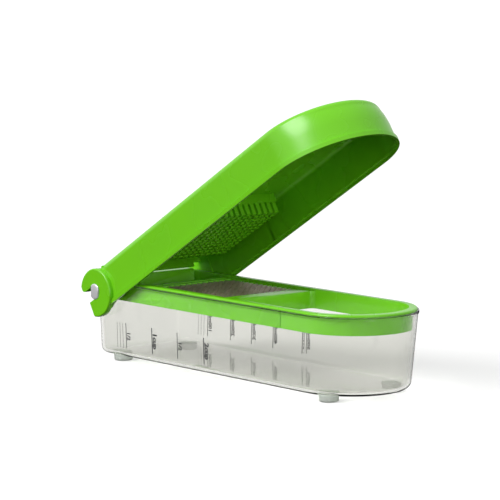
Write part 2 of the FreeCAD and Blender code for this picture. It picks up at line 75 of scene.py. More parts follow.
class Number:
    """A shader value that Python's operators can work on."""

    def __init__(self, shader: "Shader", socket: bpy.types.NodeSocket) -> None:
        """Wraps a socket.

        Args:
            shader: the material the socket belongs to.
            socket: an output that carries a number.
        """
        self.shader = shader
        self.socket = socket

    def _maths(self, operation: str, first: "Operand", second: "Operand") -> "Number":
        """Adds one Math node.

        Args:
            operation: the node's operation.
            first: its first value.
            second: its second value.

        Returns:
            The node's result.
        """
        node = self.shader.node("ShaderNodeMath", {"operation": operation}, {0: first, 1: second})
        return Number(self.shader, node.outputs[0])

    def __add__(self, other: "Operand") -> "Number":
        """The sum."""
        return self._maths("ADD", self, other)

    __radd__ = __add__

    def __sub__(self, other: "Operand") -> "Number":
        """The difference."""
        return self._maths("SUBTRACT", self, other)

    def __rsub__(self, other: "Operand") -> "Number":
        """The difference, from a plain number."""
        return self._maths("SUBTRACT", other, self)

    def __mul__(self, other: "Operand") -> "Number":
        """The product."""
        return self._maths("MULTIPLY", self, other)

    __rmul__ = __mul__


Operand = Union[Number, float]


class Shader:
    """A material whose nodes are added by one method."""

    def __init__(self, name: str) -> None:
        """Starts an empty material.

        Args:
            name: the material's name.
        """
        self.material = bpy.data.materials.new(name)
        self.material.use_nodes = True
        self.tree = self.material.node_tree
        self.tree.nodes.clear()
        self.place = self.node("ShaderNodeTexCoord").outputs["Object"]

    def node(self, kind: str, settings: Optional[dict] = None,
             inputs: Optional[dict] = None) -> bpy.types.Node:
        """Adds a node.

        Args:
            kind: the node's type.
            settings: its own properties, or a ramp's stops under "stops".
            inputs: a value, socket or Number for each named or numbered input.

        Returns:
            The node.
        """
        node = self.tree.nodes.new(kind)
        for key, setting in (settings or {}).items():
            if key == "stops":
                self.set_stops(node.color_ramp, setting)
            else:
                setattr(node, key, setting)
        for key, given in (inputs or {}).items():
            if isinstance(given, Number):
                given = given.socket
            if isinstance(given, bpy.types.NodeSocket):
                self.tree.links.new(given, node.inputs[key])
            else:
                node.inputs[key].default_value = given
        return node

    @staticmethod
    def set_stops(ramp: bpy.types.ColorRamp, stops: list[tuple[float, Colour]]) -> None:
        """Gives a colour ramp its stops.

        Args:
            ramp: the ramp.
            stops: a position and colour for each stop.
        """
        while len(ramp.elements) < len(stops):
            ramp.elements.new(1.0)
        for element, (position, colour) in zip(ramp.elements, stops):
            element.position = position
            element.color = colour

    def noise(self, scale: float, detail: float = 2.0, stretch: Vector = Vector((1, 1, 1))) -> Number:
        """Noise over the piece.

        Args:
            scale: waves per metre.
            detail: how many finer layers it has.
            stretch: how much faster it changes along each axis.

        Returns:
            The noise, from 0 to 1.
        """
        mapping = self.node("ShaderNodeMapping", None, {"Vector": self.place, "Scale": stretch})
        inputs = {"Vector": mapping.outputs[0], "Scale": scale, "Detail": detail}
        return Number(self, self.node("ShaderNodeTexNoise", None, inputs).outputs["Fac"])

    def blend(self, share: Operand, first: Colour, second: Colour) -> bpy.types.NodeSocket:
        """Mixes two colours.

        Args:
            share: how much of the second there is.
            first: the colour at 0.
            second: the colour at 1.

        Returns:
            The mixed colour.
        """
        settings = {"data_type": "RGBA"}
        return self.node("ShaderNodeMix", settings, {"Factor": share, 6: first, 7: second}).outputs[2]

    def bump(self, height: Number, strength: float, distance: float) -> bpy.types.NodeSocket:
        """Turns heights into a normal.

        Args:
            height: the height, from 0 to 1.
            strength: how much of it shows.
            distance: the height of 1 in metres.

        Returns:
            The normal.
        """
        inputs = {"Height": height, "Strength": strength, "Distance": distance}
        return self.node("ShaderNodeBump", None, inputs).outputs["Normal"]

    def finish(self, surface: bpy.types.Node) -> bpy.types.Material:
        """Joins a shader to the output.

        Args:
            surface: the last shader node.

        Returns:
            The material.
        """
        self.node("ShaderNodeOutputMaterial", None, {"Surface": surface.outputs[0]})
        return self.material


# ---------------------------------------------------------------- finishes


@dataclass(frozen=True)
class MouldedPlastic:
    """Satin coloured plastic with a faint mottle and a moulded skin."""

    name: str
    colour: Colour
    shade: Colour
    roughness: float = 0.27
    roughness_swing: float = 0.1
    mottle_scale: float = 28.0
    skin_scale: float = 900.0
    skin_height: float = 0.00004
    skin_strength: float = 0.35
    ior: float = 1.5
    gloss: float = 0.5

    def material(self) -> bpy.types.Material:
        """Builds the material."""
        shader = Shader(self.name)
        mottle = shader.noise(self.mottle_scale)
        skin = shader.noise(self.skin_scale, 3.0)
        surface = shader.node("ShaderNodeBsdfPrincipled", None, {
            "Base Color": shader.blend(mottle, self.colour, self.shade),
            "Roughness": self.roughness + mottle * self.roughness_swing - 0.5 * self.roughness_swing,
            "Normal": shader.bump(skin, self.skin_strength, self.skin_height),
            "IOR": self.ior,
            "Specular IOR Level": self.gloss,
        })
        return shader.finish(surface)


@dataclass(frozen=True)
class ClearPlastic:
    """Polished clear plastic with a trace of haze."""

    name: str
    tint: Colour
    haze: Colour
    shadow: Colour
    roughness: float = 0.008
    cloud_scale: float = 30.0
    ior: float = 1.46

    def material(self) -> bpy.types.Material:
        """Builds the material."""
        shader = Shader(self.name)
        cloud = shader.noise(self.cloud_scale)
        solid = shader.node("ShaderNodeBsdfPrincipled", None, {
            "Base Color": shader.blend(cloud, self.tint, self.haze),
            "Roughness": cloud * self.roughness,
            "Transmission Weight": 1.0,
            "IOR": self.ior,
        })
        open_air = shader.node("ShaderNodeBsdfTransparent", None, {"Color": self.shadow})
        path = shader.node("ShaderNodeLightPath")
        surface = shader.node("ShaderNodeMixShader", None, {
            0: path.outputs["Is Shadow Ray"], 1: solid.outputs[0], 2: open_air.outputs[0]})
        return shader.finish(surface)


@dataclass(frozen=True)
class Steel:
    """Bare steel with fine lines along its length and slight tarnish."""

    name: str
    bright: Colour
    dull: Colour
    roughness: float = 0.22
    grain: Vector = field(default_factory=lambda: Vector((1, 12, 12)))
    grain_scale: float = 160.0
    metallic: float = 1.0
    stain_scale: float = 70.0
    line_roughness: float = 0.18
    line_strength: float = 0.25
    line_depth: float = 0.00003

    def material(self) -> bpy.types.Material:
        """Builds the material."""
        shader = Shader(self.name)
        lines = shader.noise(self.grain_scale, 3.0, self.grain)
        stain = shader.noise(self.stain_scale)
        surface = shader.node("ShaderNodeBsdfPrincipled", None, {
            "Base Color": shader.blend(stain, self.bright, self.dull),
            "Metallic": self.metallic,
            "Roughness": self.roughness + lines * self.line_roughness,
            "Normal": shader.bump(lines, self.line_strength, self.line_depth),
        })
        return shader.finish(surface)


@dataclass(frozen=True)
class SoftRubber:
    """Milky soft rubber with a fine grain."""

    name: str
    colour: Colour
    shade: Colour
    grain_scale: float = 1400.0
    grain_strength: float = 0.3
    grain_height: float = 0.00005
    cloud_scale: float = 120.0
    roughness: float = 0.4
    roughness_swing: float = 0.15
    milkiness: float = 0.55
    ior: float = 1.4

    def material(self) -> bpy.types.Material:
        """Builds the material."""
        shader = Shader(self.name)
        grain = shader.noise(self.grain_scale)
        cloud = shader.noise(self.cloud_scale)
        surface = shader.node("ShaderNodeBsdfPrincipled", None, {
            "Base Color": shader.blend(cloud, self.colour, self.shade),
            "Roughness": self.roughness + grain * self.roughness_swing,
            "Normal": shader.bump(grain, self.grain_strength, self.grain_height),
            "Transmission Weight": self.milkiness,
            "IOR": self.ior,
        })
        return shader.finish(surface)


@dataclass(frozen=True)
class Ink:
    """Printed ink, a little uneven."""

    name: str
    colour: Colour
    worn: Colour
    wear_scale: float = 600.0
    roughness: float = 0.5
    roughness_swing: float = 0.2

    def material(self) -> bpy.types.Material:
        """Builds the material."""
        shader = Shader(self.name)
        wear = shader.noise(self.wear_scale, 3.0)
        surface = shader.node("ShaderNodeBsdfPrincipled", None, {
            "Base Color": shader.blend(wear, self.colour, self.worn),
            "Roughness": self.roughness + wear * self.roughness_swing,
        })
        return shader.finish(surface)


@dataclass(frozen=True)
class PaleFloor:
    """A plain pale studio floor."""

    name: str
    colour: Colour
    shade: Colour
    glow: float = 0.5
    cloud_scale: float = 1.5
    roughness: float = 0.9

    def material(self) -> bpy.types.Material:
        """Builds the material."""
        shader = Shader(self.name)
        cloud = shader.noise(self.cloud_scale)
        surface = shader.node("ShaderNodeBsdfPrincipled", None, {
            "Base Color": shader.blend(cloud, self.colour, self.shade),
            "Roughness": self.roughness,
            "Specular IOR Level": 0.0,
            "Emission Color": (1, 1, 1, 1),
            "Emission Strength": self.glow,
        })
        return shader.finish(surface)


class Finishes(Enum):
    """The finishes of this object, and of the floor it stands on."""

    GREEN = MouldedPlastic("lime_plastic", (0.168, 0.590, 0.009, 1), (0.152, 0.555, 0.007, 1))
    CLEAR = ClearPlastic("clear_plastic", (0.84, 0.84, 0.81, 1), (0.81, 0.81, 0.78, 1),
                         (0.9, 0.9, 0.89, 1))
    BLADE = Steel("blade_steel", (0.84, 0.76, 0.66, 1), (0.6, 0.53, 0.45, 1))
    PIN = Steel("pin_steel", (0.82, 0.82, 0.84, 1), (0.7, 0.7, 0.72, 1), roughness=0.1,
                grain=Vector((6, 1, 6)), grain_scale=90.0, metallic=0.35)
    RUBBER = SoftRubber("soft_rubber", (0.78, 0.82, 0.77, 1), (0.72, 0.76, 0.71, 1))
    INK = Ink("dark_ink", (0.03, 0.03, 0.03, 1), (0.09, 0.09, 0.09, 1))
    FLOOR = PaleFloor("pale_floor", (0.52, 0.52, 0.52, 1), (0.5, 0.5, 0.5, 1))


class Paintbox:
    """Builds each finish once and hands it out."""

    def __init__(self) -> None:
        """Starts with nothing built."""
        self._built: dict[Finishes, bpy.types.Material] = {}

    def dress(self, piece: bpy.types.Object, finish: Finishes) -> None:
        """Gives a piece one finish all over.

        Args:
            piece: the piece.
            finish: its finish.
        """
        if finish not in self._built:
            self._built[finish] = finish.value.material()
        piece.data.materials.clear()
        piece.data.materials.append(self._built[finish])
        for face in piece.data.polygons:
            face.material_index = 0


PAINT = Paintbox()


# ---------------------------------------------------------------- modelling by hand


class Picker:
    """Selects parts of the mesh that is being edited, by place and normal."""

    def __init__(self, piece: bpy.types.Object) -> None:
        """Holds the piece.

        Args:
            piece: the object in edit mode.
        """
        self.piece = piece

    def _pick(self, kind: str, test: Test) -> int:
        """Selects the elements that pass a test, and only those.

        Args:
            kind: "verts", "edges" or "faces".
            test: called with two corners' places for an edge, or centre and normal otherwise.

        Returns:
            How many were selected.
        """
        bpy.ops.mesh.select_all(action="DESELECT")
        mesh = bmesh.from_edit_mesh(self.piece.data)
        count = 0
        for element in getattr(mesh, kind):
            if kind == "edges":
                chosen = test(element.verts[0].co, element.verts[1].co)
            elif kind == "faces":
                chosen = test(element.calc_center_median(), element.normal)
            else:
                chosen = test(element.co, element.normal)
            if chosen:
                element.select_set(True)
                count += 1
        mesh.select_flush_mode()
        bmesh.update_edit_mesh(self.piece.data)
        return count

    def verts(self, test: Test) -> int:
        """Selects vertices."""
        bpy.ops.mesh.select_mode(type="VERT")
        return self._pick("verts", test)

    def edges(self, test: Test) -> int:
        """Selects edges."""
        bpy.ops.mesh.select_mode(type="EDGE")
        return self._pick("edges", test)

    def faces(self, test: Test) -> int:
        """Selects faces."""
        bpy.ops.mesh.select_mode(type="FACE")
        return self._pick("faces", test)


@contextmanager
def editing(piece: bpy.types.Object) -> Iterator[Picker]:
    """Opens a piece in edit mode.

    Args:
        piece: the piece.

    Yields:
        A picker for its mesh.
    """
    activate(piece)
    bpy.ops.object.mode_set(mode="EDIT")
    yield Picker(piece)
    bpy.ops.object.mode_set(mode="OBJECT")


def activate(piece: bpy.types.Object) -> None:
    """Makes a piece the only selected one, and the active one."""
    bpy.ops.object.select_all(action="DESELECT")
    piece.select_set(True)
    bpy.context.view_layer.objects.active = piece


def settle(piece: bpy.types.Object, name: str) -> bpy.types.Object:
    """Moves a piece's place and turn into its mesh and names it."""
    activate(piece)
    bpy.ops.object.transform_apply(location=True, rotation=True, scale=True)
    piece.name = name
    piece.data.name = name
    return piece


def apply_modifier(piece: bpy.types.Object, kind: str, **settings: object) -> None:
    """Adds a modifier, sets it and applies it.

    Args:
        piece: the piece.
        kind: the modifier's type.
        settings: its properties.
    """
    activate(piece)
    modifier = piece.modifiers.new(kind.lower(), kind)
    for key, setting in settings.items():
        setattr(modifier, key, setting)
    bpy.ops.object.modifier_apply(modifier=modifier.name)


def combine(piece: bpy.types.Object, other: bpy.types.Object, operation: str) -> None:
    """Joins another solid to a piece, or cuts it away, and removes the other.

    Args:
        piece: the piece that is kept.
        other: the solid used up.
        operation: "UNION" or "DIFFERENCE".
    """
    apply_modifier(piece, "BOOLEAN", operation=operation, object=other, solver="EXACT")
    bpy.data.objects.remove(other, do_unlink=True)


def block(name: str, low: Vector, high: Vector) -> bpy.types.Object:
    """A box between two corners."""
    bpy.ops.object.select_all(action="DESELECT")
    bpy.ops.mesh.primitive_cube_add(size=1, location=(low + high) / 2)
    box = bpy.context.object
    box.scale = high - low
    return settle(box, name)


def rod(name: str, centre: Vector, radius: float, length: float, sides: int = 96) -> bpy.types.Object:
    """A round bar that lies along Y."""
    bpy.ops.object.select_all(action="DESELECT")
    bpy.ops.mesh.primitive_cylinder_add(vertices=sides, radius=radius, depth=length, location=centre,
                                        rotation=(math.pi / 2, 0, 0))
    return settle(bpy.context.object, name)


def d_face(name: str, rear: float, nose: float, half: float, corner: float,
           height: float) -> bpy.types.Object:
    """A flat face, square at the rear and half-round at the nose.

    Args:
        name: the piece's name.
        rear: where it starts along X.
        nose: where it ends along X.
        half: half its width.
        corner: the radius of its rear corners, 0 for square ones.
        height: its place along Z.

    Returns:
        The piece, one face that looks up.
    """
    bpy.ops.object.select_all(action="DESELECT")
    bpy.ops.mesh.primitive_plane_add(size=1, location=((rear + nose) / 2, 0, height))
    plate = bpy.context.object
    plate.scale = (nose - rear, 2 * half, 1)
    settle(plate, name)
    middle = (rear + nose) / 2
    with editing(plate) as pick:
        pick.verts(lambda place, _: place.x > middle)
        bpy.ops.mesh.bevel(offset=half, segments=40, affect="VERTICES", clamp_overlap=False)
        if corner:
            pick.verts(lambda place, _: place.x < rear + CLOSE and abs(place.y) > half - CLOSE)
            bpy.ops.mesh.bevel(offset=corner, segments=10, affect="VERTICES", clamp_overlap=False)
        bpy.ops.mesh.select_all(action="SELECT")
        bpy.ops.mesh.remove_doubles(threshold=CLOSE)
    return plate


def raise_face(rise: float, inset: float = 0.0) -> None:
    """Takes the selected face on by a rise along its normal, moved in by an inset."""
    if inset:
        bpy.ops.mesh.inset(thickness=inset, depth=rise, use_even_offset=True)
    else:
        bpy.ops.mesh.extrude_region_shrink_fatten(TRANSFORM_OT_shrink_fatten={"value": rise})


def round_over(radius: float, steps: int = 8) -> None:
    """Takes the selected face on along a quarter circle, so that its edge comes out round."""
    for step in range(steps):
        before, after = (math.radians(90 * part / steps) for part in (step, step + 1))
        raise_face(radius * (math.sin(after) - math.sin(before)),
                   radius * (math.cos(before) - math.cos(after)))


def scale_selected(centre: Vector, factors: Vector) -> None:
    """Scales what is selected about a centre."""
    bpy.ops.transform.resize(value=factors, center_override=centre)


def smooth(piece: bpy.types.Object, degrees: float = 32.0) -> None:
    """Shades a piece smooth, apart from its sharp edges."""
    activate(piece)
    bpy.ops.object.shade_smooth_by_angle(angle=math.radians(degrees))


def face_out(piece: bpy.types.Object) -> None:
    """Merges doubles and points every face outwards."""
    with editing(piece):
        bpy.ops.mesh.select_all(action="SELECT")
        bpy.ops.mesh.remove_doubles(threshold=CLOSE)
        bpy.ops.mesh.normals_make_consistent(inside=False)


def softened(node: str, name: str, width: float, segments: int = 2) -> bpy.types.Object:
    """A copy of a CAD node with its doubles merged and its sharp edges rounded.

    Args:
        node: the CAD node.
        name: the copy's name.
        width: the rounding.
        segments: how many faces it has.

    Returns:
        The copy, which stands for the node.
    """
    source = frame["nodes"][node]
    piece = bpy.data.objects.new(name, source.data.copy())
    bpy.context.collection.objects.link(piece)
    settle(piece, name)
    with editing(piece):
        bpy.ops.mesh.select_all(action="SELECT")
        bpy.ops.mesh.remove_doubles(threshold=CLOSE)
        bpy.ops.mesh.dissolve_limited(angle_limit=math.radians(0.5))
    if piece.data.has_custom_normals:
        bpy.ops.mesh.customdata_custom_splitnormals_clear()
    apply_modifier(piece, "BEVEL", width=width, segments=segments, limit_method="ANGLE",
                   angle_limit=math.radians(40), use_clamp_overlap=True)
    smooth(piece)
    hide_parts(node)
    return piece


def finish_piece(piece: bpy.types.Object, body: str, finish: Finishes) -> None:
    """Dresses a piece, sets it on its body and reports it.

    Args:
        piece: the piece.
        body: the body that it moves with.
        finish: its finish.
    """
    PAINT.dress(piece, finish)
    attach(piece, body)
    log.info("%s rides on %s, %d faces", piece.name, body, len(piece.data.polygons))


# ---------------------------------------------------------------- sub-assemblies


@dataclass(frozen=True)
class Mark:
    """One line of a scale: how far it stands from the tub's rear, in millimetres, and its figure."""

    along: float
    figure: str
    bold: bool = False


@dataclass
class Scale:
    """A printed scale on one side wall. Sizes in metres."""

    name: str
    side: int
    marks: list[Mark]
    hairlines: tuple[float, ...]
    line_low: float = 7.0 * MM
    line_high: float = 26.6 * MM
    line_width: float = 0.8 * MM
    hairline_width: float = 0.5 * MM
    dashes: int = 9
    letter: float = 5.1 * MM
    bold_letter: float = 6.3 * MM
    stroke: float = 0.2 * MM
    bold_stroke: float = 0.32 * MM
    ink: float = 0.05 * MM
    bold_line: float = 1.3
    dash_share: float = 0.72
    line_to_figure: float = 1.3 * MM
    corner_share: float = 0.45

    def build(self, tub: "Tub") -> None:
        """Draws the scale flat, stands it on the wall and makes it one piece.

        Args:
            tub: the tub that it is printed on.
        """
        parts = []
        for mark in self.marks:
            along = mark.along * MM
            width = self.line_width * (self.bold_line if mark.bold else 1.0)
            parts.append(self.bar(along, self.line_low, self.line_high, width))
            parts.append(self.figure(mark, along))
        pitch = (self.line_high - self.line_low) / self.dashes
        for along in self.hairlines:
            for dash in range(self.dashes):
                low = self.line_low + dash * pitch
                parts.append(self.bar(along * MM, low, low + pitch * self.dash_share, self.hairline_width))
        bpy.ops.object.select_all(action="DESELECT")
        for part in parts:
            part.select_set(True)
        bpy.context.view_layer.objects.active = parts[0]
        bpy.ops.object.join()
        scale = parts[0]
        self.stand(scale, tub)
        PAINT.dress(scale, Finishes.INK)
        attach(scale, "tub_body")
        log.info("%s rides on tub_body, %d marks", scale.name, len(self.marks))

    def bar(self, along: float, low: float, high: float, width: float) -> bpy.types.Object:
        """An upright line with rounded ends, drawn flat with X along the tub and Y up it."""
        bpy.ops.object.select_all(action="DESELECT")
        bpy.ops.mesh.primitive_plane_add(size=1, location=(along, (low + high) / 2, 0))
        line = bpy.context.object
        line.scale = (width, high - low, 1)
        settle(line, "scale_line")
        with editing(line):
            bpy.ops.mesh.select_all(action="SELECT")
            bpy.ops.mesh.bevel(offset=width * self.corner_share, segments=3, affect="VERTICES")
            bpy.ops.mesh.select_all(action="SELECT")
            bpy.ops.mesh.extrude_region_shrink_fatten(TRANSFORM_OT_shrink_fatten={"value": self.ink})
        return line

    def figure(self, mark: Mark, along: float) -> bpy.types.Object:
        """A figure beside its line, its foot towards the line.

        Args:
            mark: the line it belongs to.
            along: the line's place.

        Returns:
            The figure as a flat mesh.
        """
        bpy.ops.object.select_all(action="DESELECT")
        bpy.ops.object.text_add()
        text = bpy.context.object
        text.data.body = mark.figure
        text.data.align_x = "CENTER"
        text.data.size = self.bold_letter if mark.bold else self.letter
        text.data.offset = self.bold_stroke if mark.bold else self.stroke
        text.data.extrude = self.ink / 2
        text.data.resolution_u = 4
        bpy.ops.object.convert(target="MESH")
        text = bpy.context.object
        text.rotation_euler = (0, 0, self.side * math.pi / 2)
        if self.side > 0:
            text.scale = (1, -1, 1)
        text.location = (along + self.line_to_figure, (self.line_low + self.line_high) / 2, self.ink / 2)
        return settle(text, "scale_figure")

    def stand(self, scale: bpy.types.Object, tub: "Tub") -> None:
        """Stands the flat drawing on the outside of its wall, with its lean.

        Args:
            scale: the drawing.
            tub: the tub that it is printed on.
        """
        foot = tub.high.y - tub.draft_side
        lean = math.atan2(tub.draft_side - tub.bead, tub.high.z - tub.low.z)
        upright = Matrix.Rotation(self.side * -lean, 4, "X") @ Matrix.Rotation(math.pi / 2, 4, "X")
        place = Matrix.Translation((tub.low.x, self.side * foot, tub.low.z))
        scale.data.transform(place @ upright)
        scale.name = scale.data.name = self.name
        face_out(scale)


@dataclass
class Tub:
    """The clear tub with its feet and its printed scales. Sizes in metres."""

    bead: float = 0.6 * MM
    bead_height: float = 2.2 * MM
    bead_slope: float = 0.3 * MM
    edge: float = 0.35 * MM
    wall: float = 2.2 * MM
    corner: float = 12 * MM
    bottom_round: float = 5.5 * MM
    draft_side: float = 2.5 * MM
    draft_nose: float = 6.0 * MM
    draft_rear: float = 1.4 * MM
    notch_width: float = 9 * MM
    foot_collar: float = 1.2 * MM
    foot_step: float = 0.2 * MM
    foot_step_in: float = 0.35 * MM
    foot_round: float = 1.2 * MM
    foot_hollow: float = 0.5 * MM
    foot_tread: float = 1.6 * MM
    low: Vector = field(default_factory=lambda: Vector(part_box("tub")[0]))
    high: Vector = field(default_factory=lambda: Vector(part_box("tub")[1]))

    def build(self) -> None:
        """Builds the tub, its feet and its scales."""
        self.build_shell()
        for end in ("rear", "front"):
            for side in ("near", "far"):
                self.build_foot(f"foot_{end}_{side}")
        self.build_scales()

    def build_shell(self) -> None:
        """Models the tub upside down from its rim, then gives it a wall."""
        half = self.high.y
        shell = d_face("tub_shell", self.low.x, self.high.x, half, self.corner, self.high.z)
        with editing(shell):
            bpy.ops.mesh.select_all(action="SELECT")
            bpy.ops.mesh.flip_normals()
            raise_face(self.bead_height)
            raise_face(self.bead_slope, self.bead)
            depth = self.high.z - self.low.z - self.bead_height - self.bead_slope - self.bottom_round
            raise_face(depth)
            self.draft(half)
            round_over(self.bottom_round)
        face_out(shell)
        self.open_top(shell)
        apply_modifier(shell, "SOLIDIFY", thickness=self.wall, offset=-1, use_even_offset=True)
        apply_modifier(shell, "BEVEL", width=self.edge, segments=3, limit_method="ANGLE",
                       angle_limit=math.radians(50))
        self.cut_notches(shell)
        smooth(shell, 40)
        apply_modifier(shell, "WEIGHTED_NORMAL", keep_sharp=True)
        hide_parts("tub")
        finish_piece(shell, "tub_body", Finishes.CLEAR)

    def draft(self, half: float) -> None:
        """Draws the selected bottom face in, more at the nose than at the sides."""
        length = self.high.x - self.low.x
        across = 1 - (self.draft_side - self.bead) / (half - self.bead)
        along = 1 - (self.draft_nose + self.draft_rear - 2 * self.bead) / (length - 2 * self.bead)
        scale_selected(Vector(((self.low.x + self.high.x) / 2, 0, 0)), Vector((along, across, 1)))
        bpy.ops.transform.translate(value=((self.draft_rear - self.draft_nose) / 2, 0, 0))

    def open_top(self, shell: bpy.types.Object) -> None:
        """Removes the face that closes the rim."""
        with editing(shell) as pick:
            pick.faces(lambda centre, normal: centre.z > self.high.z - 10 * CLOSE and normal.z > FACING)
            bpy.ops.mesh.delete(type="FACE")

    def cut_notches(self, shell: bpy.types.Object) -> None:
        """Cuts the round-bottomed notch for the hinge pins through both sides."""
        pin_low, pin_high = (Vector(corner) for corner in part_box("hinge_pin_near"))
        centre = Vector(((pin_low.x + pin_high.x) / 2, 0, (pin_low.z + pin_high.z) / 2))
        radius = self.notch_width / 2
        reach = self.high.y + PAST
        cutter = rod("notch_cutter", centre, radius, 2 * reach, 48)
        slot = block("notch_slot", centre + Vector((-radius, -reach, 0)),
                     Vector((centre.x + radius, reach, self.high.z + PAST)))
        combine(cutter, slot, "UNION")
        combine(shell, cutter, "DIFFERENCE")

    def build_foot(self, node: str) -> None:
        """Turns one soft foot: a low drum with a rounded tread and a shallow hollow under it."""
        low, high = (Vector(corner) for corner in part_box(node))
        radius = (high.x - low.x) / 2
        centre = (low + high) / 2
        bpy.ops.object.select_all(action="DESELECT")
        bpy.ops.mesh.primitive_circle_add(vertices=48, radius=radius, fill_type="NGON",
                                          location=(centre.x, centre.y, high.z))
        foot = settle(bpy.context.object, f"{node}_pad")
        with editing(foot):
            bpy.ops.mesh.select_all(action="SELECT")
            bpy.ops.mesh.flip_normals()
            raise_face(self.foot_collar)
            raise_face(self.foot_step, self.foot_step_in)
            raise_face(high.z - low.z - self.foot_collar - self.foot_step - self.foot_round)
            round_over(self.foot_round, 5)
            raise_face(-self.foot_hollow, self.foot_tread)
        with editing(foot) as pick:
            pick.edges(lambda a, b: a.z > high.z - CLOSE and b.z > high.z - CLOSE)
            bpy.ops.mesh.edge_face_add()
        face_out(foot)
        smooth(foot, 50)
        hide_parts(node)
        finish_piece(foot, "tub_body", Finishes.RUBBER)

    def build_scales(self) -> None:
        """Prints a scale on each side wall, to be read with the tub stood on its rear end."""
        near = [Mark(40.4, "1/2"), Mark(71.9, "1cup", bold=True), Mark(102.0, "1/2"),
                Mark(132.6, "2cup", bold=True)]
        far = [Mark(32.0, "100ml"), Mark(59.6, "200ml"), Mark(84.6, "300ml"), Mark(109.6, "400ml"),
               Mark(142.8, "500ml")]
        Scale("scale_near", -1, near, (29.5, 33.0, 36.5)).build(self)
        Scale("scale_far", 1, far, (20.5, 24.0, 27.5)).build(self)


@dataclass
class CuttingFrame:
    """The green frame with its pins and the blade insert. Sizes in metres."""

    shell_edge: float = 0.5 * MM
    pin_edge: float = 0.2 * MM
    border_edge: float = 0.25 * MM
    blade_edge: float = 0.12 * MM

    def build(self) -> None:
        """Builds every piece of the frame."""
        body = softened("top_frame", "frame_shell", self.shell_edge, 3)
        finish_piece(body, "frame_body", Finishes.GREEN)
        for side in ("near", "far"):
            pin = softened(f"hinge_pin_{side}", f"hinge_pin_{side}_steel", self.pin_edge)
            finish_piece(pin, "frame_body", Finishes.PIN)
        holder = softened("blade_holder", "insert_border", self.border_edge)
        finish_piece(holder, "frame_body", Finishes.GREEN)
        for node in sorted(frame["nodes"]):
            if node.startswith(("blade_long_", "blade_cross_")):
                self.build_blade(node)

    def build_blade(self, node: str) -> None:
        """Gives a blade a ground edge."""
        blade = softened(node, f"{node}_strip", self.blade_edge, 1)
        finish_piece(blade, "frame_body", Finishes.BLADE)


